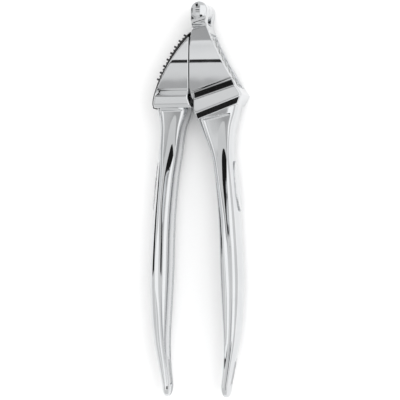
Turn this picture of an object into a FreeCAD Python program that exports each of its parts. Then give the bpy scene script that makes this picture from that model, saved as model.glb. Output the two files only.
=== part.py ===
"""Self-cleaning garlic press: two hinged chromed castings with a wedge plunger, a sieve and a cleaner.

The press lies on its side. The hinge pin runs along Z and the handles point towards -Y.
Shapes are drawn round the hinge (x to the right, y away from the handles, z along the pin, z = 0 in
the middle of the press). They are moved at the end so that the origin is under the middle of the press,
on the surface that it lies on. Opening turns the lever towards -x. It can swing right over the hinge
until the cleaner's pegs push into the sieve from outside.
"""
import FreeCAD
import Part
import os
from math import cos, radians, sin

V = FreeCAD.Vector

# ---- driving dimensions, mm ----
LENGTH = 191.4               # over everything, hinge to handle tips
HEAD_HALF_DEPTH = 10.75      # half of the head's width along the pin
COLLAR_PROUD = 1.1           # how far the collars stand out from the head's sides
COLLAR_BEVEL = 3.2           # width of the long slopes of the hopper's collar
LEVER_COLLAR_BEVEL = 2.5     # and of the slope on top of the lever's collar
COLLAR_EDGE = 0.4            # slope at a collar's short ends
FACE_ANGLE = 28.0            # lean of both outer faces, degrees from the long axis

KNUCKLE_R = 4.0
KNUCKLE_PROUD = 0.15         # the hinge's ends beyond the head's sides
CENTRE_KNUCKLE_HALF = 4.0    # half length of the lever's own knuckle
KNUCKLE_SIDE_GAP = 0.6       # room for one thrust washer
TURN_GAP = 0.6               # radial room round a turning knuckle
WAIST_R = 2.4                # groove across the hopper's cheeks, under the hinge
WAIST_DEEP = 1.3
WAIST_UNDER_KNUCKLE = 2.2
WAIST_SLANT = 16.0
PIN_R = 1.6
BUSH_WALL = 0.7
RUNNING_GAP = 0.05
CAP_R = 3.7
CAP_DOME = 0.9
WASHER_GAP = 0.1
WASHER_R = 3.7

ARM_REACH = 17.0             # the lever's centre arm ends this far from the hinge, inside the plunger
SPLIT_X = -4.9               # plane in which the closed heads meet
SPLIT_GAP = 0.3
HOPPER_R_INNER = 13.0        # hopper's curved end walls, round the hinge
HOPPER_R_OUTER = 40.6
HOPPER_HALF_WIDTH = 7.7
PLUNGER_GAP = 0.35
PLUNGER_OVER_SIEVE = 0.8

FACE_START = 9.0             # along the face, from the foot of the hinge
FACE_END = 46.0
FACE_SET_BACK = 0.5          # outer face's ends, inside the line through the hinge axis
FACE_HOLLOW = 1.0            # how far the outer face curves in between its ends
SIEVE_RECESS = 0.9
SIEVE_THICK = 1.5
SIEVE_MARGIN = 1.0           # ledge that the sieve sits on
SIEVE_GAP = 0.05

HOLE_R = 0.9
HOLE_PITCH = 3.55
HOLE_COLUMN_STEP = 3.05
HOLE_EDGE = 0.4              # least metal between a hole and the hopper's end walls

CLEANER_SIDE_GAP = 0.4       # between the cleaner and the hopper's side rims when it is swung over
PEG_R = 0.5
PEG_HEIGHT = 1.5
PEG_ROOT = 0.5
PEG_LEAD = 0.12              # pegs stand nearer the hinge than their holes, as they swing in
POST_R = 1.6
POST_LENGTH = 3.0
POST_PLACES = (19.5, 43.0)
POST_HOLE_GAP = 0.05

HANDLE_AXIS_X = -3.05        # the two handles mirror each other about this line
SLOT_HALF_WIDTH = 2.6
SLOT_LENGTH = 14.5
SLOT_TO_TIP = 5.0
INLAY_LENGTH = 24.5
INLAY_HALF_WIDTH = 4.4
INLAY_PROUD = 0.9
INLAY_TOP = -72.5
SCREW_R = 1.25
SCREW_HEAD_R = 2.2
SCREW_HEAD = 1.4
SCREW_INTO_PLUNGER = 4.5
SCREW_PLACES = (-24.5, -32.0)  # y of the screws that hold the plunger

# ---- values that follow ----
COLLAR_HALF_DEPTH = HEAD_HALF_DEPTH + COLLAR_PROUD
TIP_Y = KNUCKLE_R - LENGTH
FACE = radians(FACE_ANGLE)
ALONG = V(sin(FACE), -cos(FACE), 0)       # down the hopper's outer face
OUT = V(cos(FACE), sin(FACE), 0)          # out of it
LEVER_ALONG = V(-ALONG.x, ALONG.y, 0)
LEVER_OUT = V(-OUT.x, OUT.y, 0)
BORE_R = PIN_R + BUSH_WALL
KNUCKLE_HALF_LENGTH = HEAD_HALF_DEPTH + KNUCKLE_PROUD
WAIST_DOWN = KNUCKLE_R + WAIST_UNDER_KNUCKLE
SIEVE_HALF_WIDTH = HOPPER_HALF_WIDTH + SIEVE_MARGIN
SIEVE_LOW = HOPPER_R_INNER - SIEVE_MARGIN
SIEVE_HIGH = HOPPER_R_OUTER + SIEVE_MARGIN
HOLE_FIRST = HOPPER_R_INNER + HOLE_R + HOLE_EDGE
HOLE_LAST = HOPPER_R_OUTER - HOLE_R - HOLE_EDGE
HOLE_COLUMNS = int((HOPPER_HALF_WIDTH - HOLE_R) / HOLE_COLUMN_STEP)  # each side of the middle one
CLEANER_HALF_WIDTH = SIEVE_HALF_WIDTH - CLEANER_SIDE_GAP
LEVER_SPLIT_X = SPLIT_X - SPLIT_GAP
NOMINAL_TIP_Y = -187.4                    # the handle tables below are drawn for this tip


def on_face(along, out, z=0.0):
    """A point beside the line down the hopper's outer face, which starts at the hinge axis."""
    return ALONG * along + OUT * out + V(0, 0, z)


def on_lever_face(along, out, z=0.0):
    """The mirror image of on_face, on the lever's side."""
    return LEVER_ALONG * along + LEVER_OUT * out + V(0, 0, z)


def face_out(along):
    """How far out the hopper's outer face stands: it is slightly hollow along its length."""
    middle = (FACE_START + FACE_END) / 2
    share = (along - middle) / (FACE_END - middle)
    return -FACE_SET_BACK - FACE_HOLLOW * (1 - share ** 2)


def prism(points, half_depth, z=0.0):
    """A closed outline of (x, y) points or vectors, extruded evenly both ways from z."""
    ring = [V(p[0], p[1], z - half_depth) for p in points]
    face = Part.Face(Part.makePolygon(ring + ring[:1]))
    return face.extrude(V(0, 0, 2 * half_depth))


def slab(edges, half_depth):
    """A closed outline of edges in the middle plane, extruded evenly both ways."""
    solid = Part.Face(Part.Wire(Part.__sortEdges__(edges))).extrude(V(0, 0, 2 * half_depth))
    solid.translate(V(0, 0, -half_depth))
    return solid


def lines(points):
    return [Part.makeLine(V(a[0], a[1], 0), V(b[0], b[1], 0)) for a, b in zip(points, points[1:])]


def curve(points):
    spline = Part.BSplineCurve()
    spline.interpolate(Points=[V(p[0], p[1], 0) for p in points])
    return spline.toShape()


def face_arc(low, high, depth):
    """An arc that runs parallel to the hopper's outer face, at a depth under it."""
    three = [on_face(a, face_out(a) - depth) for a in (low, (low + high) / 2, high)]
    return Part.Arc(*three).toShape()


def cylinder(radius, half_depth, x=0.0, y=0.0, z=0.0):
    """A cylinder along Z, centred on z."""
    return Part.makeCylinder(radius, 2 * half_depth, V(x, y, z - half_depth), V(0, 0, 1))


def both_sides(shape):
    """The shape and its mirror image through the middle plane."""
    return [shape, shape.mirror(V(0, 0, 0), V(0, 0, 1))]


def fuse(shapes):
    return shapes[0].fuse(shapes[1:]) if len(shapes) > 1 else shapes[0]


def round_hinge(radius, start, end, count):
    """Points round the hinge, by angle from -y towards +x in degrees."""
    steps = [start + (end - start) * i / (count - 1) for i in range(count)]
    return [(radius * sin(radians(a)), -radius * cos(radians(a))) for a in steps]


# ---- handles ----
# (y, inner side, outer side, half depth) down a handle, inner and outer from the handles' mirror line
HANDLE = [
    (-70.0, 8.0, 18.2, 9.0),
    (-82.0, 9.8, 19.5, 8.8),
    (-102.0, 11.5, 21.5, 8.8),
    (-128.0, 12.3, 23.0, 8.7),
    (-146.0, 13.2, 22.5, 8.2),
    (-160.0, 13.9, 21.2, 7.4),
    (-172.0, 13.5, 18.9, 6.5),
    (-181.5, 12.5, 17.1, 5.8),
]
HOPPER_ROOT = [(-42.0, 0.2, 22.2, 9.9), (-49.0, 0.6, 20.9, 9.9), (-57.0, 3.4, 18.9, 9.6)]
LEVER_ROOT = [(-42.0, 2.7, 19.2, 9.9), (-48.0, 3.2, 18.3, 9.9), (-57.0, 6.2, 17.1, 9.6)]
# one half of a handle's section: share of the way from inner to outer side, share of the half depth
HANDLE_SECTION = [
    (0.04, 0.0), (0.0, 0.42), (0.03, 0.76), (0.16, 0.93), (0.36, 0.90), (0.56, 0.95),
    (0.70, 0.97), (0.84, 0.80), (0.95, 0.45), (1.0, 0.0),
]
TIP_ROUNDING = ((0.6, 0.93), (0.95, 0.72))  # (share of the tip's length, share of the section)


def handle_ring(y, inner, outer, half_depth, side, scale=1.0):
    """One closed section of a handle, in a plane square to the long axis."""
    middle = (inner + outer) / 2
    half = HANDLE_SECTION + [(s, -z) for s, z in HANDLE_SECTION[-2:0:-1]]
    points = []
    for s, z in half:
        from_axis = middle + (inner + s * (outer - inner) - middle) * scale
        points.append(V(HANDLE_AXIS_X + side * from_axis, y, z * half_depth * scale))
    ring = Part.BSplineCurve()
    ring.interpolate(Points=points, PeriodicFlag=True)
    return Part.Wire(ring.toShape())


def stretched(y):
    """A handle's y for the length of press that is wanted. The head keeps its place."""
    neck = HOPPER_ROOT[0][0]
    return neck + (y - neck) * (TIP_Y - neck) / (NOMINAL_TIP_Y - neck)


def handle(root, side, grow=0.0):
    """A handle as one smooth loft with a rounded tip; grow pushes its outer side out."""
    rings = []
    for y, inner, outer, half_depth in root + HANDLE:
        rings.append(handle_ring(stretched(y), inner, outer + grow, half_depth + grow, side))
    last_y = stretched(HANDLE[-1][0])
    _, inner, outer, half_depth = HANDLE[-1]
    for share, scale in TIP_ROUNDING:
        y = last_y + (TIP_Y - last_y) * share
        rings.append(handle_ring(y, inner, outer, half_depth, side, scale))
    return Part.makeLoft(rings, True, False, False)


def slot_place(side):
    """Where the hanging slot crosses a handle: x, and the y of its two round ends."""
    x = HANDLE_AXIS_X + side * (HANDLE[-1][1] + HANDLE[-1][2]) / 2
    low = TIP_Y + SLOT_TO_TIP + SLOT_HALF_WIDTH
    return x, low, low + SLOT_LENGTH - 2 * SLOT_HALF_WIDTH


def hanging_slot(side):
    """The slot's cutter: a long hole with round ends, across the handle near its tip."""
    x, low, high = slot_place(side)
    reach = 14.0
    starts = [V(x - reach, y, 0) for y in (low, high)]
    ends = [Part.makeCylinder(SLOT_HALF_WIDTH, 2 * reach, start, V(1, 0, 0)) for start in starts]
    box = Part.makeBox(2 * reach, high - low, 2 * SLOT_HALF_WIDTH, V(x - reach, low, -SLOT_HALF_WIDTH))
    return fuse([box] + ends)


def inlay_cutter(side):
    """A long oval prism through the handle's outer half, where its inlay goes."""
    middle = stretched(INLAY_TOP - INLAY_LENGTH / 2)
    oval = Part.Ellipse(V(0, middle, 0), INLAY_LENGTH / 2, INLAY_HALF_WIDTH)
    face = Part.Face(Part.Wire(oval.toShape()))
    face.rotate(V(0, middle, 0), V(0, 0, 1), 90)
    face.rotate(V(0, middle, 0), V(0, 1, 0), 90)
    face.translate(V(HANDLE_AXIS_X + side * 15.5, 0, 0))
    return face.extrude(V(side * 15.0, 0, 0))


def inset(outline, slopes):
    """The outline, which runs clockwise, with each edge moved inwards by its own distance."""
    points = [V(p[0], p[1], 0) for p in outline]
    moved = []
    for i, here in enumerate(points):
        come = (here - points[i - 1]).normalize()
        go = (points[(i + 1) % len(points)] - here).normalize()
        turn = come.x * go.y - come.y * go.x
        moved.append(here + (go * slopes[i - 1] - come * slopes[i]) * (-1 / turn))
    return moved


def collar(outline, slopes):
    """A band round the head that swells out of its sides, with a slope inside each edge."""
    rings = []
    for points, z in ((outline, HEAD_HALF_DEPTH), (inset(outline, slopes), COLLAR_HALF_DEPTH)):
        corners = [V(p[0], p[1], z) for p in points]
        rings.append(Part.makePolygon(corners + corners[:1]))
    swell = Part.makeLoft(rings, True, True)
    return fuse([prism(outline, HEAD_HALF_DEPTH)] + both_sides(swell))


def finished(head, cutters, root, side, bore):
    """A casting: its head cut to shape, then joined to its handle and bored for the hinge."""
    for cutter in cutters:
        head = head.cut(cutter)
    whole = head.fuse(handle(root, side)).cut(hanging_slot(side))
    return whole.cut(cylinder(bore, KNUCKLE_HALF_LENGTH + 2))


# ---- hopper casting ----
NECK_LEFT = (-4.0, -9.0)
CHEEK_FOOT = -17.5
HOPPER_HEAD_LOW = [                 # from the face's end round to the split plane
    (-3.4, -43.0),
    (SPLIT_X, -37.5),
    (SPLIT_X, CHEEK_FOOT),
    NECK_LEFT,
]
HOPPER_COLLAR = [
    on_face(37.2, face_out(37.2)),
    on_face(FACE_END, face_out(FACE_END)),
    (18.8, -45.4),
    (-0.9, -53.0),
    (-2.8, -48.5),
    (-2.8, -39.8),
]
HOPPER_COLLAR_SLOPES = [COLLAR_EDGE, COLLAR_EDGE, COLLAR_BEVEL, COLLAR_EDGE, COLLAR_EDGE, COLLAR_BEVEL]


def hopper_cavity(gap, depth, split):
    """The wedge from the split plane to the sieve, bounded by arcs round the hinge.

    gap shrinks it on its curved ends and its sides. depth is measured under the hopper's outer face.
    """
    inner = HOPPER_R_INNER + gap
    outer = HOPPER_R_OUTER - gap
    half_width = HOPPER_HALF_WIDTH - gap
    ring = cylinder(outer, half_width).cut(cylinder(inner, half_width + 1))
    low, high = FACE_START - 8, FACE_END + 8
    side = face_arc(low, high, depth)
    foot = on_face(high, face_out(high) - depth)
    head = on_face(low, face_out(low) - depth)
    rest = lines([foot, (foot.x, -70), (split, -70), (split, head.y), head])
    return ring.common(slab([side] + rest, half_width + 1))


def centre_arm_slot():
    """Room for the lever's knuckle and centre arm between the hopper's cheeks."""
    half = CENTRE_KNUCKLE_HALF + KNUCKLE_SIDE_GAP
    reach = ARM_REACH + 2.0
    wedge = prism([(0, 0)] + round_hinge(reach, -75.0, 3.5, 8), half)
    knuckle = KNUCKLE_R + TURN_GAP
    arm_side = ((-1.0, -knuckle - 0.2), (2.8, 1.4 - knuckle), (9.8, 0.9), (9.8, 6.0), (-1.0, 6.0))
    swung_over = [on_face(a, o) for a, o in arm_side]
    return fuse([wedge, cylinder(KNUCKLE_R + TURN_GAP, half), prism(swung_over, half)])


def waist():
    """The slanting groove across both cheeks just under the hinge."""
    z = KNUCKLE_HALF_LENGTH - WAIST_DEEP + WAIST_R
    along = V(cos(radians(WAIST_SLANT)), sin(radians(WAIST_SLANT)), 0)
    start = V(0, -WAIST_DOWN, z) - along * 30
    return both_sides(Part.makeCylinder(WAIST_R, 60, start, along))


def hole_places():
    """Every hole's (along, across) in the sieve: neighbouring columns are half a pitch apart."""
    places = []
    for column in range(-HOLE_COLUMNS, HOLE_COLUMNS + 1):
        along = HOLE_FIRST + (HOLE_PITCH / 2 if column % 2 else 0.0)
        while along <= HOLE_LAST:
            places.append((along, column * HOLE_COLUMN_STEP))
            along += HOLE_PITCH
    return places


def face_slab(low, high, shallow, deep, half_width):
    """A slab that lies along the hopper's outer face, between two depths under it."""
    a, b = (on_face(low, face_out(low) - d) for d in (shallow, deep))
    c, d = (on_face(high, face_out(high) - d) for d in (shallow, deep))
    sides = [face_arc(low, high, shallow), face_arc(low, high, deep)]
    ends = [Part.makeLine(a, b), Part.makeLine(c, d)]
    return slab(sides + ends, half_width)


def hopper_head():
    outer = face_arc(FACE_START, FACE_END, 0)
    start = on_face(FACE_START, face_out(FACE_START))
    end = on_face(FACE_END, face_out(FACE_END))
    return slab([outer] + lines([end] + HOPPER_HEAD_LOW + [start]), HEAD_HALF_DEPTH)


def hopper_casting():
    cheek = [
        (-KNUCKLE_R, 0.0),
        (-KNUCKLE_R, -5.0),
        NECK_LEFT,
        (SPLIT_X, CHEEK_FOOT),
        (4.0, CHEEK_FOOT),
        on_face(FACE_START, face_out(FACE_START)),
        (3.2, -5.6),
        (KNUCKLE_R, 0.0),
    ]
    body = fuse([
        hopper_head(),
        collar(HOPPER_COLLAR, HOPPER_COLLAR_SLOPES),
        prism(cheek, HEAD_HALF_DEPTH),
        cylinder(KNUCKLE_R, KNUCKLE_HALF_LENGTH),
    ])
    cutters = waist() + [
        centre_arm_slot(),
        hopper_cavity(0, -4, SPLIT_X - 12),
        face_slab(SIEVE_LOW, SIEVE_HIGH, -4, SIEVE_RECESS + SIEVE_THICK, SIEVE_HALF_WIDTH),
    ]
    return finished(body, cutters, HOPPER_ROOT, 1, PIN_R)


# ---- lever casting ----
# (along, out) of the lever's outer side, which the cleaner lies on
LEVER_CURVE = [
    (13.6, -1.3), (16.0, -0.7), (19.5, 0.0), (24.0, 0.7), (29.0, 1.15), (34.0, 1.35),
    (38.0, 1.3), (43.0, 0.8), (46.5, 0.1), (49.5, -0.9), (51.6, -2.2),
]
LEVER_BOTTOM = -47.0
LEVER_COLLAR_TOP = -38.6
LEVER_CORNER_Y = -42.4


def lever_head_foot():
    """The lever head's outline from the foot of its outer side to the split plane."""
    foot = on_lever_face(*LEVER_CURVE[-1])
    return [
        foot,
        (foot.x + 0.3, LEVER_BOTTOM),
        (LEVER_SPLIT_X + 1.7, LEVER_BOTTOM),
        (LEVER_SPLIT_X, LEVER_CORNER_Y),
    ]


def lever_head():
    """A wedge from the split plane to the curved outer side."""
    side = [on_lever_face(a, o) for a, o in LEVER_CURVE]
    rest = lever_head_foot() + [(LEVER_SPLIT_X, CHEEK_FOOT), side[0]]
    return slab([curve(side)] + lines(rest), HEAD_HALF_DEPTH)


def lever_collar():
    foot = lever_head_foot()
    outline = [
        (foot[0].x, LEVER_BOTTOM),
        on_lever_face(*LEVER_CURVE[-3]),
        (-19.6, LEVER_COLLAR_TOP),
        (LEVER_SPLIT_X, LEVER_COLLAR_TOP),
        (LEVER_SPLIT_X, LEVER_CORNER_Y),
        (LEVER_SPLIT_X + 1.7, LEVER_BOTTOM),
    ]
    ends = [COLLAR_EDGE] * 2
    return collar(outline, ends + [LEVER_COLLAR_BEVEL] + ends + [3 * COLLAR_EDGE])


def centre_arm():
    """The lever's knuckle and the arm that joins it to the head, between the hopper's cheeks."""
    arm = [
        (-KNUCKLE_R * 0.92, -1.2),
        on_lever_face(9.8, -1.6),
        on_lever_face(14.5, -1.7),
        (LEVER_SPLIT_X, -20.0),
        *round_hinge(ARM_REACH, -17.0, -1.0, 4),
        (0.0, -KNUCKLE_R * 0.95),
    ]
    return fuse([cylinder(KNUCKLE_R, CENTRE_KNUCKLE_HALF), prism(arm, CENTRE_KNUCKLE_HALF)])


def post(along, radius, deep):
    """A round post square to the lever's outer face, going deep into the head."""
    under = next(o for a, o in LEVER_CURVE if a >= along)
    return Part.makeCylinder(radius, deep, on_lever_face(along, under + 0.3), LEVER_OUT * -1)


def plunger_screw(y, gap=0.0):
    """A countersunk screw through the lever's head into the plunger, its head under the cleaner."""
    head_x = min(on_lever_face(a, o).x for a, o in LEVER_CURVE if on_lever_face(a, o).y > y)
    shank = Part.makeCylinder(
        SCREW_R + gap, LEVER_SPLIT_X - head_x + SCREW_INTO_PLUNGER, V(head_x, y, 0), V(1, 0, 0)
    )
    head = Part.makeCone(SCREW_HEAD_R + gap, SCREW_R + gap, SCREW_HEAD, V(head_x, y, 0), V(1, 0, 0))
    mouth = Part.makeCylinder(SCREW_HEAD_R + gap, 6, V(head_x - 6, y, 0), V(1, 0, 0))
    return fuse([shank, head, mouth] if gap else [shank, head])


def lever_casting():
    body = fuse([lever_head(), lever_collar(), centre_arm()])
    clear = cylinder(KNUCKLE_R + TURN_GAP, KNUCKLE_HALF_LENGTH, z=KNUCKLE_HALF_LENGTH + CENTRE_KNUCKLE_HALF)
    posts = [post(a, POST_R + POST_HOLE_GAP, POST_LENGTH + 0.4) for a in POST_PLACES]
    screws = [plunger_screw(y, POST_HOLE_GAP) for y in SCREW_PLACES]
    return finished(body, both_sides(clear) + posts + screws, LEVER_ROOT, -1, BORE_R)


# ---- pieces that work in the head ----
def plunger():
    """A wedge that fills the closed hopper and stands on the lever's flat side."""
    wedge = hopper_cavity(PLUNGER_GAP, SIEVE_RECESS + SIEVE_THICK + PLUNGER_OVER_SIEVE, LEVER_SPLIT_X)
    return wedge.cut(fuse([centre_arm()] + [plunger_screw(y) for y in SCREW_PLACES]))


def sieve_plate():
    plate = face_slab(
        SIEVE_LOW + SIEVE_GAP, SIEVE_HIGH - SIEVE_GAP,
        SIEVE_RECESS, SIEVE_RECESS + SIEVE_THICK, SIEVE_HALF_WIDTH - SIEVE_GAP,
    )
    drills = [Part.makeCylinder(HOLE_R, 12, on_face(a, -8, z), OUT) for a, z in hole_places()]
    return plate.cut(Part.makeCompound(drills))


# (along, out) of the cleaner's outer face
CLEANER_CURVE = [
    (11.2, -0.7), (15.5, 0.95), (19.0, 1.75), (24.0, 2.4), (29.0, 2.65), (34.0, 2.65),
    (39.0, 2.45), (43.5, 1.85), (47.0, 1.15), (50.4, 0.0), (52.6, -1.7),
]


def cleaner_out(along):
    """How far out the cleaner's outer face stands, read off between the points of its curve."""
    pairs = zip(CLEANER_CURVE, CLEANER_CURVE[1:])
    (a, p), (b, q) = next(pair for pair in pairs if pair[1][0] >= along)
    return p + (q - p) * (along - a) / (b - a)


def cleaner_plate():
    """The black plate over the lever's outer side, with a peg for every hole in the sieve."""
    under = [on_lever_face(a, o) for a, o in LEVER_CURVE]
    over = [on_lever_face(a, o) for a, o in CLEANER_CURVE]
    lip = on_lever_face(12.1, -1.2)
    edges = [curve(under), curve(over)] + lines([under[0], lip, over[0]]) + lines([under[-1], over[-1]])
    pegs = []
    for along, z in hole_places():
        root = on_lever_face(along - PEG_LEAD, cleaner_out(along) - PEG_ROOT, z)
        pegs.append(Part.makeCylinder(PEG_R, PEG_HEIGHT + PEG_ROOT, root, LEVER_OUT))
    posts = [post(a, POST_R, POST_LENGTH) for a in POST_PLACES]
    return fuse([slab(edges, CLEANER_HALF_WIDTH)] + pegs + posts)


# ---- hinge ----
def hinge_bush():
    tube = cylinder(BORE_R, CENTRE_KNUCKLE_HALF)
    return tube.cut(cylinder(PIN_R + RUNNING_GAP, CENTRE_KNUCKLE_HALF + 1))


def thrust_washer():
    """A thin ring between the lever's knuckle and one of the hopper's."""
    thick = KNUCKLE_SIDE_GAP - 2 * WASHER_GAP
    middle = CENTRE_KNUCKLE_HALF + KNUCKLE_SIDE_GAP / 2
    ring = cylinder(WASHER_R, thick / 2, z=middle)
    return ring.cut(cylinder(PIN_R + RUNNING_GAP, thick, z=middle))


def dome(radius, height, x, y, z):
    """A shallow round button that stands on the plane z."""
    ball_r = (radius ** 2 + height ** 2) / (2 * height)
    ball = Part.makeSphere(ball_r, V(x, y, z + height - ball_r))
    return ball.common(Part.makeCylinder(radius + 1, height + 1, V(x, y, z), V(0, 0, 1)))


def inlay(root, side):
    """A raised oval plate that follows the handle's outer side."""
    proud = handle(root, side, INLAY_PROUD).common(inlay_cutter(side))
    return proud.cut(handle(root, side))


def place(shapes):
    """Moves every shape so that the origin is under the middle of the press."""
    box = Part.makeCompound(list(shapes.values())).optimalBoundingBox(True, False)
    shift = V(-(box.XMin + box.XMax) / 2, -(box.YMin + box.YMax) / 2, -box.ZMin)
    for shape in shapes.values():
        shape.translate(shift)
    return shift


def main():
    washers = both_sides(thrust_washer())
    caps = both_sides(dome(CAP_R, CAP_DOME, 0, 0, KNUCKLE_HALF_LENGTH))
    shapes = {
        "hopper_casting": hopper_casting(),
        "lever_casting": lever_casting(),
        "plunger": plunger(),
        "plunger_screws": Part.makeCompound([plunger_screw(y) for y in SCREW_PLACES]),
        "sieve_plate": sieve_plate(),
        "cleaner_plate": cleaner_plate(),
        "hinge_pin": cylinder(PIN_R, KNUCKLE_HALF_LENGTH),
        "hinge_bush": hinge_bush(),
        "thrust_washer_top": washers[0],
        "thrust_washer_bottom": washers[1],
        "pin_cap_top": caps[0],
        "pin_cap_bottom": caps[1],
        "hopper_inlay": inlay(HOPPER_ROOT, 1),
        "lever_inlay": inlay(LEVER_ROOT, -1),
    }
    shift = place(shapes)
    os.makedirs("parts", exist_ok=True)
    for name, shape in shapes.items():
        print(name, "solids", len(shape.Solids), "valid", shape.isValid(), "volume", round(shape.Volume, 1))
        shape.exportStep("parts/%s.step" % name)
    print("hinge axis at x %.3f y %.3f, middle plane z %.3f" % (shift.x, shift.y, shift.z))
    slots = [tuple(round(v, 2) for v in slot_place(side)) for side in (1, -1)]
    print("hanging slots, before the move: x, lower and upper centre y", slots)


main()
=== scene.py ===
"""A chromed garlic press lying on its side on white paper: two castings, a sieve and a black cleaner.

Shapes are drawn in millimetres round the hinge, with x to the right, y away from the handles and z up
from the middle of the press, and are put in place by at().
"""
import math
import bmesh
import bpy
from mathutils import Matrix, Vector


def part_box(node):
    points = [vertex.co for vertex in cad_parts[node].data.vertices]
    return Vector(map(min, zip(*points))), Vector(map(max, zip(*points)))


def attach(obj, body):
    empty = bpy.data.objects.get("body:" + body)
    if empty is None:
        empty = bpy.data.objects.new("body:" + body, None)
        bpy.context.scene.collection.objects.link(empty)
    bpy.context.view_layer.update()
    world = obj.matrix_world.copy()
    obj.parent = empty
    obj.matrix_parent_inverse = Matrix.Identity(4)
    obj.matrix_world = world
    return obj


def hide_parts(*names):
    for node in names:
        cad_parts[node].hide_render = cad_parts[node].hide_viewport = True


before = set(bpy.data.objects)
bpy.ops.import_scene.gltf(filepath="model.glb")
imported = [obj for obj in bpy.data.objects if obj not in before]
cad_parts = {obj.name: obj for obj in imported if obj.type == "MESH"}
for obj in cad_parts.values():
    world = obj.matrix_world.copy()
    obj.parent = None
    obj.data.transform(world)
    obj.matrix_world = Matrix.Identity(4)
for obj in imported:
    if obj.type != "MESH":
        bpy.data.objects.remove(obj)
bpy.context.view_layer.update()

MM = 0.001
PIN_LOW, PIN_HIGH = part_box("hinge_pin")
HINGE = (PIN_LOW + PIN_HIGH) / 2


def at(x, y, z=0.0):
    """A place given in millimetres from the middle of the hinge."""
    return HINGE + Vector((x, y, z)) * MM


# ---- materials ----
def colour(code):
    """An sRGB hex value as linear red, green, blue and alpha."""
    parts = [int(code[i:i + 2], 16) / 255 for i in (1, 3, 5)]
    return [p / 12.92 if p < 0.04045 else ((p + 0.055) / 1.055) ** 2.4 for p in parts] + [1.0]


def node(tree, kind, inputs=None, **settings):
    """Adds a node, with its settings and what goes into its sockets, and gives it back."""
    made = tree.nodes.new(kind)
    for name, value in settings.items():
        setattr(made, name, value)
    for name, value in (inputs or {}).items():
        if isinstance(value, bpy.types.NodeSocket):
            tree.links.new(value, made.inputs[name])
        else:
            made.inputs[name].default_value = value
    return made


def new_material(name):
    """An empty material, its node tree, its shader, and where on the object it is, in metres."""
    material = bpy.data.materials.new(name)
    material.use_nodes = True
    tree = material.node_tree
    place = node(tree, "ShaderNodeTexCoord").outputs["Object"]
    return material, tree, tree.nodes["Principled BSDF"], place


def set_shader(tree, shader, **inputs):
    for name, value in inputs.items():
        socket = shader.inputs[name.replace("_", " ")]
        if isinstance(value, bpy.types.NodeSocket):
            tree.links.new(value, socket)
        else:
            socket.default_value = value


def noise(tree, place, size_mm, detail=3.0, stretch=(1, 1, 1)):
    """Soft blotches of about size_mm, drawn out along the axes whose stretch is over 1."""
    spread = node(tree, "ShaderNodeMapping", {"Vector": place, "Scale": [1 / s for s in stretch]})
    made = node(tree, "ShaderNodeTexNoise", {
        "Vector": spread.outputs["Vector"], "Scale": 1 / (size_mm * MM), "Detail": detail,
    })
    return made.outputs["Fac"]


def between(tree, factor, low, high, start=0.3, end=0.7):
    """factor from start to end, as a number from low to high."""
    made = node(tree, "ShaderNodeMapRange", {
        "Value": factor, "From Min": start, "From Max": end, "To Min": low, "To Max": high,
    })
    return made.outputs["Result"]


def tint(tree, factor, first, second):
    made = node(tree, "ShaderNodeMix", {"Factor": factor}, data_type="RGBA")
    for socket in made.inputs:
        if socket.type == "RGBA":
            socket.default_value = colour(first if socket.name == "A" else second)
    return made.outputs[2]


def bumps(tree, height, deep_mm, under=None):
    """Raises the surface by height, up to deep_mm."""
    inputs = {"Height": height, "Strength": 1.0, "Distance": deep_mm * MM}
    if under:
        inputs["Normal"] = under
    return node(tree, "ShaderNodeBump", inputs).outputs["Normal"]


def bright_chrome():
    """Chrome plate on polished zinc: a clean mirror, with the faint haze and hairlines of handling."""
    material, tree, shader, place = new_material("bright_chrome_plate")
    haze = noise(tree, place, 11.0)
    hairlines = noise(tree, place, 0.35, 2.0, (1, 30, 1))
    swell = noise(tree, place, 7.0, 1.0)
    set_shader(
        tree, shader, Metallic=1.0,
        Base_Color=tint(tree, haze, "#cbcdcf", "#d6d7d8"),
        Roughness=between(tree, haze, 0.035, 0.075),
        Normal=bumps(tree, hairlines, 0.0004, bumps(tree, swell, 0.012)),
    )
    return material


def satin_chrome():
    """Chrome on the grip inlays, tumbled before plating, so a little softer than the castings."""
    material, tree, shader, place = new_material("satin_chrome_inlay")
    haze = noise(tree, place, 6.0)
    grit = noise(tree, place, 0.25, 2.0)
    set_shader(
        tree, shader, Metallic=1.0,
        Base_Color=tint(tree, haze, "#cfd1d3", "#dbdcdd"),
        Roughness=between(tree, haze, 0.08, 0.15),
        Normal=bumps(tree, grit, 0.0008),
    )
    return material


def plunger_zinc():
    """Plated zinc as cast: a grey satin skin with slight flow marks, duller in patches along them."""
    material, tree, shader, place = new_material("as_cast_plated_zinc")
    flow = noise(tree, place, 5.0, 4.0, (1, 2.5, 1))
    grain = noise(tree, place, 0.4, 2.0)
    set_shader(
        tree, shader, Metallic=1.0,
        Base_Color=tint(tree, flow, "#6f7173", "#85878a"),
        Roughness=between(tree, flow, 0.24, 0.38),
        Normal=bumps(tree, grain, 0.006),
    )
    return material


def sieve_stainless():
    """Stamped stainless sheet, with rolling lines along its length and burnished hole rims."""
    material, tree, shader, place = new_material("rolled_stainless_sieve")
    rolling = noise(tree, place, 0.5, 3.0, (6, 14, 1))
    haze = noise(tree, place, 4.0)
    set_shader(
        tree, shader, Metallic=1.0,
        Base_Color=tint(tree, haze, "#b9bbbc", "#cccdce"),
        Roughness=between(tree, rolling, 0.14, 0.28),
        Normal=bumps(tree, rolling, 0.002),
    )
    return material


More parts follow.
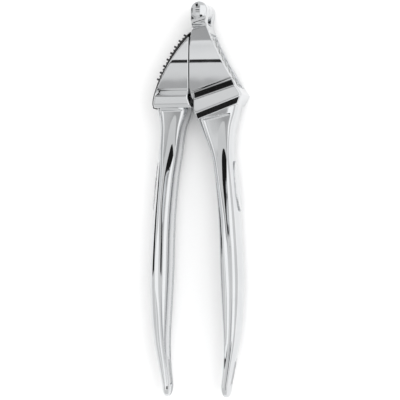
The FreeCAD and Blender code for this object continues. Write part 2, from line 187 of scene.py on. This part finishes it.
def turned_steel():
    """Steel of the pin and screws: fine rings and streaks from turning."""
    material, tree, shader, place = new_material("turned_steel")
    streaks = noise(tree, place, 0.3, 2.0, (1, 1, 8))
    set_shader(
        tree, shader, Metallic=1.0,
        Base_Color=tint(tree, streaks, "#a2a4a6", "#b7b9ba"),
        Roughness=between(tree, streaks, 0.18, 0.32),
        Normal=bumps(tree, streaks, 0.002),
    )
    return material


def sintered_bronze():
    """Oil-filled bronze of the bush: warm, a little porous and dull."""
    material, tree, shader, place = new_material("sintered_bronze")
    pores = noise(tree, place, 0.3, 4.0)
    set_shader(
        tree, shader, Metallic=1.0,
        Base_Color=tint(tree, pores, "#8a6537", "#a5804a"),
        Roughness=between(tree, pores, 0.34, 0.52),
        Normal=bumps(tree, pores, 0.01),
    )
    return material


def natural_nylon():
    """Unpigmented nylon of the thrust washers: milky, smooth, slightly waxy."""
    material, tree, shader, place = new_material("natural_nylon")
    cloud = noise(tree, place, 2.0)
    set_shader(
        tree, shader, IOR=1.53,
        Base_Color=tint(tree, cloud, "#dcd9cf", "#e8e6de"),
        Roughness=between(tree, cloud, 0.36, 0.48),
        Normal=bumps(tree, cloud, 0.005),
    )
    return material


def black_nylon():
    """Black moulded nylon of the cleaner: a fine spark-eroded grain that breaks up its low sheen."""
    material, tree, shader, place = new_material("black_moulded_nylon")
    grain = noise(tree, place, 0.35, 3.0)
    wear = noise(tree, place, 5.0)
    set_shader(
        tree, shader, IOR=1.53,
        Base_Color=tint(tree, wear, "#131314", "#1e1e20"),
        Roughness=between(tree, wear, 0.34, 0.5),
        Normal=bumps(tree, grain, 0.02),
    )
    return material


def white_paper():
    """A sheet of matt white background paper: nearly even, with a soft tooth."""
    material, tree, shader, place = new_material("white_background_paper")
    tooth = noise(tree, place, 1.5, 4.0)
    set_shader(
        tree, shader,
        Base_Color=tint(tree, tooth, "#f8f8f8", "#fbfbfb"),
        Roughness=between(tree, tooth, 0.75, 0.9),
        Normal=bumps(tree, tooth, 0.01),
    )
    return material


CHROME = bright_chrome()
INLAY_METAL = satin_chrome()
PLUNGER_METAL = plunger_zinc()
SIEVE_METAL = sieve_stainless()
STEEL = turned_steel()
BRONZE = sintered_bronze()
NYLON = natural_nylon()
BLACK = black_nylon()
PAPER = white_paper()


# ---- making pieces ----
def smoothly(value, start, end):
    """0 before start, 1 after end, and an even S between them."""
    t = min(1.0, max(0.0, (value - start) / (end - start)))
    return t * t * (3 - 2 * t)


def read_off(rows, x):
    """Values on a smooth curve through rows of (x, values...), whose x goes one way."""
    if rows[0][0] > rows[-1][0]:
        rows = rows[::-1]
    x = min(rows[-1][0], max(rows[0][0], x))
    i = max(0, next((k for k, row in enumerate(rows) if row[0] >= x), 1) - 1)
    a, b = rows[i], rows[min(i + 1, len(rows) - 1)]
    before, after = rows[max(i - 1, 0)], rows[min(i + 2, len(rows) - 1)]
    span = (b[0] - a[0]) or 1.0
    t = (x - a[0]) / span
    found = []
    for k in range(1, len(a)):
        m = (b[k] - before[k]) / ((b[0] - before[0]) or 1.0) * span
        n = (after[k] - a[k]) / ((after[0] - a[0]) or 1.0) * span
        found.append(
            (2 * t ** 3 - 3 * t ** 2 + 1) * a[k] + (t ** 3 - 2 * t ** 2 + t) * m
            + (3 * t ** 2 - 2 * t ** 3) * b[k] + (t ** 3 - t ** 2) * n
        )
    return found


def skin(mesh, rings, closed_ends=True):
    """Joins rings of points, each with as many as the next, and closes the ends with a fan."""
    loops = [[mesh.verts.new(p) for p in ring] for ring in rings]
    for one, two in zip(loops, loops[1:]):
        for i in range(len(one)):
            j = (i + 1) % len(one)
            mesh.faces.new((one[i], one[j], two[j], two[i]))
    if closed_ends:
        for loop in (loops[0], loops[-1]):
            hub = mesh.verts.new(sum((v.co for v in loop), Vector()) / len(loop))
            for i in range(len(loop)):
                mesh.faces.new((loop[i], loop[(i + 1) % len(loop)], hub))


def lathe(mesh, profile, foot, axis, sides=24):
    """A turned shape: (radius, height) points in mm, spun round axis from foot."""
    across = axis.orthogonal().normalized()
    along = axis.cross(across)
    turns = [2 * math.pi * i / sides for i in range(sides)]
    spokes = [across * math.cos(t) + along * math.sin(t) for t in turns]
    rings = []
    for radius, height in profile:
        rings.append([foot + (axis * height + spoke * radius) * MM for spoke in spokes])
    skin(mesh, rings)


def make(name, mesh, body, material, replaces=()):
    """A piece from its mesh, riding on its body."""
    bmesh.ops.recalc_face_normals(mesh, faces=mesh.faces)
    data = bpy.data.meshes.new(name)
    mesh.to_mesh(data)
    mesh.free()
    piece = bpy.data.objects.new(name, data)
    bpy.context.scene.collection.objects.link(piece)
    data.materials.append(material)
    smooth(piece)
    if body:
        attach(piece, body)
    if replaces:
        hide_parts(*replaces)
    return piece


def smooth(piece):
    for face in piece.data.polygons:
        face.use_smooth = True


def settle(piece):
    """Turns the piece's modifiers into its mesh."""
    seen = piece.evaluated_get(bpy.context.evaluated_depsgraph_get())
    finished = bpy.data.meshes.new_from_object(seen)
    piece.modifiers.clear()
    piece.data = finished
    smooth(piece)


def cast_skin(piece, grain_mm, rounds):
    """Gives a piece the even skin and softened edges of a casting that has been polished."""
    skin_over = piece.modifiers.new("skin", "REMESH")
    skin_over.mode = "VOXEL"
    skin_over.voxel_size = grain_mm * MM
    polish = piece.modifiers.new("polish", "SMOOTH")
    polish.factor = 0.5
    polish.iterations = rounds
    settle(piece)


def from_frame(node_name):
    """The frame's solid as a mesh to work on, with its split corners joined."""
    mesh = bmesh.new()
    mesh.from_mesh(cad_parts[node_name].data)
    bmesh.ops.remove_doubles(mesh, verts=mesh.verts, dist=1e-6)
    return mesh


def cut_below(mesh, point, upwards):
    """Takes away what is under a plane and closes the cut."""
    everything = mesh.verts[:] + mesh.edges[:] + mesh.faces[:]
    bmesh.ops.bisect_plane(mesh, geom=everything, plane_co=point, plane_no=upwards, clear_inner=True)
    open_edges = [e for e in mesh.edges if e.is_boundary]
    bmesh.ops.holes_fill(mesh, edges=open_edges, sides=0)


# ---- heads ----
# (y, how far the heads' broad sides stand back from flat): they fall away on both sides of a fold
HEAD_SIDES = [
    (-39.0, 0.42), (-34.0, 0.24), (-27.8, 0.06), (-25.4, 0.0),
    (-23.6, 0.05), (-15.3, 0.66), (-9.0, 1.45), (-7.4, 1.7),
]
TILT_FADES, TILT_ENDS = -7.8, -6.2       # the tilt dies out under the groove below the hinge
FLAT_FROM, FLAT_TO = 7.9, 10.0           # |z| over which a point counts as part of a broad side


def dress_sides(piece, collar_top):
    """Tilts the broad sides of a head above and below its fold, down to its collar."""
    for v in piece.data.vertices:
        x, y, z = (v.co - HINGE) / MM
        above = y - collar_top(x)
        if above < 0 or y > TILT_ENDS:
            continue
        back = read_off(HEAD_SIDES, y)[0]
        back *= smoothly(above, 0.1, 1.2) * (1 - smoothly(y, TILT_FADES, TILT_ENDS))
        share = smoothly(abs(z), FLAT_FROM, FLAT_TO)
        v.co.z -= math.copysign(back * share * MM, z)


def hopper_collar_top(x):
    """The hopper's collar slopes up towards its outer face."""
    return -39.8 + 0.345 * (x + 2.8)


def lever_collar_top(x):
    """The lever's collar is level."""
    return -38.6


def head(name, node_name, body, foot, upwards, collar_top):
    """A casting's head down to the foot of its collar, where the handle starts."""
    mesh = from_frame(node_name)
    cut_below(mesh, foot, upwards)
    piece = make(name, mesh, body, CHROME, (node_name,))
    cast_skin(piece, 0.24, 9)
    dress_sides(piece, collar_top)
    return piece


COLLAR_FOOT_RIGHT = at(18.8, -45.38)
COLLAR_FOOT_LEFT = at(-0.9, -52.98)
slope = (COLLAR_FOOT_RIGHT - COLLAR_FOOT_LEFT).normalized()
above_foot = Vector((-slope.y, slope.x, 0))
head("hopper_head", "hopper_casting", "hopper", COLLAR_FOOT_LEFT, above_foot, hopper_collar_top)
head("lever_head", "lever_casting", "lever", at(0, -46.98), Vector((0, 1, 0)), lever_collar_top)

# ---- handles ----
HANDLE_AXIS_X = -3.05
# (y, inner side, outer side, half depth), inner and outer from the line that the handles mirror in
HANDLE = [
    (-70.0, 8.0, 18.2, 9.0), (-82.0, 9.8, 19.5, 8.8), (-102.0, 11.5, 21.5, 8.8),
    (-128.0, 12.3, 23.0, 8.7), (-146.0, 13.2, 22.5, 8.2), (-160.0, 13.9, 21.2, 7.4),
    (-172.0, 13.5, 18.9, 6.5), (-181.5, 12.5, 17.1, 5.8),
]
HOPPER_ROOT = [(-42.0, 0.2, 22.2, 9.9), (-49.0, 0.6, 20.9, 9.9), (-57.0, 3.4, 18.9, 9.6)]
LEVER_ROOT = [(-42.0, 2.7, 19.2, 9.9), (-48.0, 3.2, 18.3, 9.9), (-57.0, 6.2, 17.1, 9.6)]
TIP_Y = -187.1
GRIP_END_Y = HANDLE[-1][0]   # the rounded tip starts here
# (y, exponent of the section): boxy at the heads, rounder along the grips
BOXINESS = [
    (-43.0, 7.0), (-50.0, 6.4), (-60.0, 5.0), (-75.0, 3.7), (-90.0, 3.0), (-120.0, 2.7), (-181.5, 2.5),
]
# (y, share of the width where the flute starts and ends, its depth) on the handles' broad sides
FLUTE_NEAR_TIP = [(-159.0, 0.19, 0.54, 0.8), (-171.6, 0.12, 0.50, 0.55), (-181.5, 0.14, 0.50, 0.25)]
HOPPER_FLUTE = [
    (-46.0, 0.10, 0.90, 1.4), (-52.5, 0.10, 0.90, 1.8), (-60.0, 0.10, 0.89, 2.1),
    (-68.0, 0.10, 0.84, 2.3), (-75.0, 0.10, 0.75, 2.2), (-82.0, 0.12, 0.66, 2.0),
    (-92.0, 0.15, 0.61, 1.7), (-100.0, 0.19, 0.58, 1.4), (-108.0, 0.20, 0.58, 1.05),
    (-113.0, 0.24, 0.61, 0.85), (-134.0, 0.28, 0.60, 0.75), (-147.0, 0.24, 0.58, 0.85),
] + FLUTE_NEAR_TIP
LEVER_FLUTE = [
    (-46.0, 0.07, 0.90, 1.4), (-52.5, 0.07, 0.90, 1.8), (-60.0, 0.09, 0.90, 2.1),
    (-68.0, 0.16, 0.87, 2.2), (-75.0, 0.26, 0.80, 2.0), (-82.0, 0.33, 0.74, 1.7),
    (-92.0, 0.36, 0.71, 1.4), (-100.0, 0.36, 0.69, 1.15), (-108.0, 0.35, 0.68, 0.95),
    (-113.0, 0.34, 0.67, 0.85), (-134.0, 0.32, 0.64, 0.75), (-147.0, 0.27, 0.58, 0.85),
] + FLUTE_NEAR_TIP
# (y, share of the flute's width, from the left, where it is deepest)
FLUTE_FLOOR = [(-46.0, 0.14), (-60.0, 0.16), (-75.0, 0.20), (-92.0, 0.30), (-113.0, 0.5), (-181.5, 0.5)]
# (y, share of the width where the broad side turns into the outer side)
OUTER_EDGE = [(-100.0, 0.97), (-131.0, 0.92), (-145.0, 0.83), (-153.0, 0.74), (-160.0, 0.68), (-181.5, 0.62)]
CHANNEL_DEEP = 0.55          # the shallow channel down each handle's inner side
SLOT_HALF_WIDTH = 2.6
SLOT_LOW, SLOT_HIGH = -179.8, -170.5


def side_height(share, boxy):
    """How high a handle's section stands at this share of its width, out of its half depth."""
    across = abs(2 * share - 1)
    if share < 0.5:
        return 0.95 * (1 - across ** 4) ** 0.25
    return 0.95 * (1 - across ** boxy) ** (1 / (0.85 * boxy))


def half_section(y, root, side, flute_top):
    """The upper half of a handle's section, from its inner side over the flute to its outer side."""
    inner, outer, half_depth = read_off(root + HANDLE, y)
    start, end, deep = read_off(HOPPER_FLUTE if side > 0 else LEVER_FLUTE, y)
    floor = read_off(FLUTE_FLOOR, y)[0]
    floor = floor if side > 0 else 1 - floor
    turn = read_off(OUTER_EDGE, y)[0]
    boxy = read_off(BOXINESS, y)[0]
    width = outer - inner
    points = []
    corner = 0.06
    top = side_height(corner, boxy) / 0.95
    for i in range(22):
        z = top * i / 22
        share = 0.5 * (1 - (1 - z ** 4) ** 0.25)
        channel = CHANNEL_DEEP * (1 - smoothly(z, 0.50, 0.58))
        points.append((inner + share * width + channel, 0.95 * z * half_depth))
    for i in range(8):
        share = corner + (start - corner) * i / 8
        points.append((inner + share * width, side_height(share, boxy) * half_depth))
    for i in range(36):
        u = i / 36
        share = start + (end - start) * u
        x = HANDLE_AXIS_X + side * (inner + share * width)
        fade = smoothly(flute_top(x) - y, 0.0, 0.8)
        dip = 1 - ((u - floor) / (floor if u < floor else 1 - floor)) ** 2
        points.append((inner + share * width, side_height(share, boxy) * half_depth - deep * dip * fade))
    for i in range(29):
        u = i / 28
        share = 1 - (1 - end) * (1 - u) ** 2
        z = side_height(share, boxy) * half_depth
        z -= max(0.0, share - turn) * 2.0 * (1 - smoothly(share, 0.9, 1.0))
        points.append((inner + share * width, max(z, 0.0)))
    return points


def hopper_flute_top(x):
    """The hopper's flute starts under its collar, which slopes."""
    return -51.6 + 0.206 * (x - 5.2)


def lever_flute_top(x):
    return -47.6


def handle(name, body, root, side, flute_top):
    """A handle, with its rings close together at the top, where the flute starts."""
    fine = [-43.0, -44.5] + [-46.0 - 0.35 * i for i in range(24)]
    coarse = [fine[-1] - 1.25 * (i + 1) for i in range(int((fine[-1] - GRIP_END_Y) / 1.25))]
    places = fine + coarse + [GRIP_END_Y]
    rings = []
    for y in places:
        half = half_section(y, root, side, flute_top)
        ring = half + [(x, -z) for x, z in half[-2:0:-1]]
        rings.append([at(HANDLE_AXIS_X + side * x, y, z) for x, z in ring])
    last = half_section(GRIP_END_Y, root, side, flute_top)
    ring = last + [(x, -z) for x, z in last[-2:0:-1]]
    middle = (HANDLE[-1][1] + HANDLE[-1][2]) / 2
    for i in range(1, 11):
        u = math.sin(math.pi / 2 * i / 10.5)
        scale = (1 - u ** 2.4) ** (1 / 2.4)
        y = GRIP_END_Y + (TIP_Y - GRIP_END_Y) * u
        rings.append([
            at(HANDLE_AXIS_X + side * (middle + (x - middle) * scale), y, z * scale) for x, z in ring
        ])
    mesh = bmesh.new()
    skin(mesh, rings)
    piece = make(name, mesh, body, CHROME, (body + "_casting",))
    hanging_slot(piece, HANDLE_AXIS_X + side * middle)
    return piece


def hanging_slot(piece, x):
    """Cuts the long hole near a handle's tip, right across it."""
    outline = []
    for i in range(17):
        a = math.pi * i / 16
        outline.append((SLOT_HIGH + SLOT_HALF_WIDTH * math.sin(a), SLOT_HALF_WIDTH * math.cos(a)))
    for i in range(17):
        a = math.pi * i / 16
        outline.append((SLOT_LOW - SLOT_HALF_WIDTH * math.sin(a), -SLOT_HALF_WIDTH * math.cos(a)))
    mesh = bmesh.new()
    skin(mesh, [[at(x + reach, y, z) for y, z in outline] for reach in (-14.0, 14.0)])
    drill = make("slot_cutter", mesh, None, CHROME)
    cut = piece.modifiers.new("slot", "BOOLEAN")
    cut.operation = "DIFFERENCE"
    cut.solver = "EXACT"
    cut.object = drill
    settle(piece)
    bpy.data.objects.remove(drill)


handle("hopper_handle", "hopper", HOPPER_ROOT, 1, hopper_flute_top)
handle("lever_handle", "lever", LEVER_ROOT, -1, lever_flute_top)

# ---- grip inlays ----
for body in ("hopper", "lever"):
    badge = make(body + "_grip_inlay", from_frame(body + "_inlay"), body, INLAY_METAL,
                 (body + "_inlay",))
    cast_skin(badge, 0.2, 4)

# ---- plunger ----
wedge = make("plunger_wedge", from_frame("plunger"), "lever", PLUNGER_METAL, ("plunger",))
cast_skin(wedge, 0.3, 3)

# ---- cleaner ----
FACE = math.radians(28.0)
LEVER_ALONG = Vector((-math.sin(FACE), -math.cos(FACE), 0))
LEVER_OUT = Vector((-math.cos(FACE), math.sin(FACE), 0))
# (along, out) of the lever's outer side and of the cleaner's outer face, from the hinge
LEVER_CURVE = [
    (13.6, -1.3), (16.0, -0.7), (19.5, 0.0), (24.0, 0.7), (29.0, 1.15), (34.0, 1.35),
    (38.0, 1.3), (43.0, 0.8), (46.5, 0.1), (49.5, -0.9), (51.6, -2.2),
]
CLEANER_CURVE = [
    (11.2, -0.7), (15.5, 0.9), (19.0, 1.7), (24.0, 2.35), (29.0, 2.6), (34.0, 2.6),
    (39.0, 2.35), (43.5, 1.75), (47.0, 1.05), (50.4, -0.1), (52.6, -1.8),
]
CLEANER_HALF_WIDTH = 8.3
HOLE_PITCH, HOLE_COLUMN_STEP, HOLE_FIRST, HOLE_LAST = 3.55, 3.05, 14.3, 39.3
PEG_R, PEG_HEIGHT, PEG_LEAD = 0.5, 1.5, 0.12


def on_lever_face(along, out, z=0.0):
    return HINGE + (LEVER_ALONG * along + LEVER_OUT * out + Vector((0, 0, z))) * MM


def cleaner_ring(along):
    """A band's section across the cleaner, with rounded long edges."""
    top = read_off(CLEANER_CURVE, along)[0]
    bottom = read_off(LEVER_CURVE, along)[0] if along > 13.6 else read_off(CLEANER_CURVE, along)[0] - 0.55
    bottom = min(bottom, top - 0.35)
    radius = min(0.45, (top - bottom) / 2 - 0.01)
    ring = []
    for corner_z, corner_out, start in (
        (CLEANER_HALF_WIDTH, top, 0), (-CLEANER_HALF_WIDTH, top, 90),
        (-CLEANER_HALF_WIDTH, bottom, 180), (CLEANER_HALF_WIDTH, bottom, 270),
    ):
        middle_z = corner_z - math.copysign(radius, corner_z)
        middle_out = corner_out - radius if corner_out == top else corner_out + radius
        for i in range(5):
            a = math.radians(start + 22.5 * i)
            out, z = middle_out + radius * math.sin(a), middle_z + radius * math.cos(a)
            ring.append(on_lever_face(along, out, z))
    return ring


def cleaner():
    mesh = bmesh.new()
    skin(mesh, [cleaner_ring(11.4 + (52.4 - 11.4) * i / 56) for i in range(57)])
    for column in range(-2, 3):
        along = HOLE_FIRST + (HOLE_PITCH / 2 if column % 2 else 0.0)
        while along <= HOLE_LAST:
            out = read_off(CLEANER_CURVE, along)[0]
            foot = on_lever_face(along - PEG_LEAD, out - 0.3, column * HOLE_COLUMN_STEP)
            tall = PEG_HEIGHT + 0.3
            profile = [
                (PEG_R + 0.28, 0.0), (PEG_R + 0.22, 0.3), (PEG_R + 0.07, 0.42), (PEG_R, 0.62),
                (PEG_R, tall - 0.35), (PEG_R * 0.88, tall - 0.14), (PEG_R * 0.5, tall - 0.02),
            ]
            lathe(mesh, profile, foot, LEVER_OUT, 12)
            along += HOLE_PITCH
    return make("cleaner", mesh, "lever", BLACK, ("cleaner_plate",))


cleaner()

# ---- pin caps ----
CAP_R, CAP_DOME = 3.7, 0.9
for name, side in (("pin_cap_top", 1), ("pin_cap_bottom", -1)):
    low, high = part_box(name)
    seat = Vector((HINGE.x, HINGE.y, low.z if side > 0 else high.z))
    ball = (CAP_R ** 2 + CAP_DOME ** 2) / (2 * CAP_DOME)
    rim = [(CAP_R - 0.05, -0.3), (CAP_R, 0.0), (CAP_R - 0.04, 0.06)]
    steps = (3.5, 3.3, 3.0, 2.6, 2.1, 1.6, 1.1, 0.6, 0.2)
    dome = [(r, CAP_DOME - ball + math.sqrt(ball ** 2 - r ** 2)) for r in steps]
    mesh = bmesh.new()
    lathe(mesh, rim + dome, seat, Vector((0, 0, side)), 64)
    make("hinge_" + name, mesh, "hopper", CHROME, (name,))

# ---- pieces that keep the frame's own shape ----
for name, material in (
    ("sieve_plate", SIEVE_METAL), ("plunger_screws", STEEL), ("hinge_pin", STEEL),
    ("hinge_bush", BRONZE), ("thrust_washer_top", NYLON), ("thrust_washer_bottom", NYLON),
):
    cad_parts[name].data.materials.clear()
    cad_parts[name].data.materials.append(material)

# ---- floor, lights and the dark and light cards that the chrome mirrors ----
scene = bpy.context.scene
scene.view_settings.view_transform = "Standard"

mesh = bmesh.new()
bmesh.ops.create_grid(mesh, x_segments=40, y_segments=40, size=1.5)
floor = make("paper_floor", mesh, None, PAPER)

world = bpy.data.worlds.new("white_tent")
scene.world = world
world.use_nodes = True
world.node_tree.nodes["Background"].inputs["Color"].default_value = colour("#ffffff")
world.node_tree.nodes["Background"].inputs["Strength"].default_value = 0.85


def glow(name, strength, shades=None):
    """An even light of its own, or one whose strength follows y in metres by (y, strength) shades."""
    material = bpy.data.materials.new(name)
    material.use_nodes = True
    tree = material.node_tree
    tree.nodes.clear()
    level = strength
    if shades:
        place = node(tree, "ShaderNodeTexCoord").outputs["Object"]
        y = node(tree, "ShaderNodeSeparateXYZ", {"Vector": place}).outputs["Y"]
        low, high = shades[0][0], shades[-1][0]
        across = node(tree, "ShaderNodeMapRange", {"Value": y, "From Min": low, "From Max": high})
        ramp = node(tree, "ShaderNodeValToRGB", {"Fac": across.outputs["Result"]})
        stops = ramp.color_ramp.elements
        while len(stops) < len(shades):
            stops.new(0.5)
        for stop, (where, value) in zip(stops, shades):
            stop.position = (where - low) / (high - low)
            stop.color = (value / 2, value / 2, value / 2, 1)
        doubled = node(tree, "ShaderNodeMath", {0: ramp.outputs["Color"], 1: 2.0}, operation="MULTIPLY")
        level = doubled.outputs[0]
    light = node(tree, "ShaderNodeEmission", {"Strength": level})
    node(tree, "ShaderNodeOutputMaterial", {"Surface": light.outputs["Emission"]})
    return material


def card(name, material, centre, across, up, width, height):
    """A stiff card beside the press. Only polished surfaces see it."""
    across, up = Vector(across).normalized(), Vector(up).normalized()
    mesh = bmesh.new()
    corners = [(-1, -1), (1, -1), (1, 1), (-1, 1)]
    mesh.faces.new([
        mesh.verts.new(Vector(centre) + across * (width / 2 * a) + up * (height / 2 * b)) for a, b in corners
    ])
    bmesh.ops.subdivide_edges(mesh, edges=mesh.edges, cuts=4, use_grid_fill=True)
    made = make(name, mesh, None, material)
    for kind in ("camera", "diffuse", "transmission", "shadow", "volume_scatter"):
        setattr(made, "visible_" + kind, False)
    return made


DARK = glow("black_velvet_card", 0.015)
CEILING = glow("shaded_ceiling", 1.0, [
    (-0.20, 1.05), (-0.06, 0.95), (-0.02, 0.70), (0.02, 0.50), (0.058, 0.55), (0.066, 0.95), (0.094, 0.95),
    (0.104, 0.03), (0.150, 0.03), (0.160, 1.12), (0.195, 0.96), (0.219, 1.10), (0.229, 0.52), (0.40, 0.48),
])
WHITE = glow("white_silk", 1.35)
card("ceiling_card", CEILING, (-0.17, 0.10, 0.5), (1, 0, 0), (0, 1, 0), 0.28, 0.60)
card("white_card_right", WHITE, (0.27, 0.0, 0.5), (1, 0, 0), (0, 1, 0), 0.54, 0.9)
card("dark_card_back", DARK, (-0.20, 0.385, 0.376), (1, 0, 0), (0, -0.55, 0.83), 0.15, 0.18)
card("dark_card_front", DARK, (0.04, -0.235, 0.44), (1, 0, 0), (0, 0.7, 0.7), 0.16, 0.16)
card("dark_card_left", DARK, (-0.5, 0.10, 0.20), (0, 1, 0), (0, 0, 1), 0.31, 0.34)


def softbox(name, place, target, size, watts):
    lamp = bpy.data.lights.new(name, "AREA")
    lamp.shape = "SQUARE"
    lamp.size = size
    lamp.energy = watts
    made = bpy.data.objects.new(name, lamp)
    made.location = place
    made.rotation_euler = (Vector(target) - Vector(place)).to_track_quat("-Z", "Y").to_euler()
    made.visible_glossy = False
    scene.collection.objects.link(made)


softbox("softbox_right", (0.75, 0.15, 0.9), (0, 0, 0), 0.8, 3.8)
softbox("softbox_overhead", (0.15, 0.1, 1.3), (0, 0, 0), 0.9, 5.6)

# ---- camera: over the middle of the press, leaning 11.5 degrees towards the hopper's side ----
LEAN = math.radians(11.5)
LOOKS_AT = Vector((0.00088, 0.00013, 0.01217))
camera = bpy.data.cameras.new("camera")
camera.lens = 160
camera.sensor_width = 36
camera.clip_start = 0.01
viewer = bpy.data.objects.new("camera", camera)
viewer.rotation_euler = (0, LEAN, 0)
viewer.location = LOOKS_AT + Vector((math.sin(LEAN), 0, math.cos(LEAN))) * 0.864
scene.collection.objects.link(viewer)
scene.camera = viewer
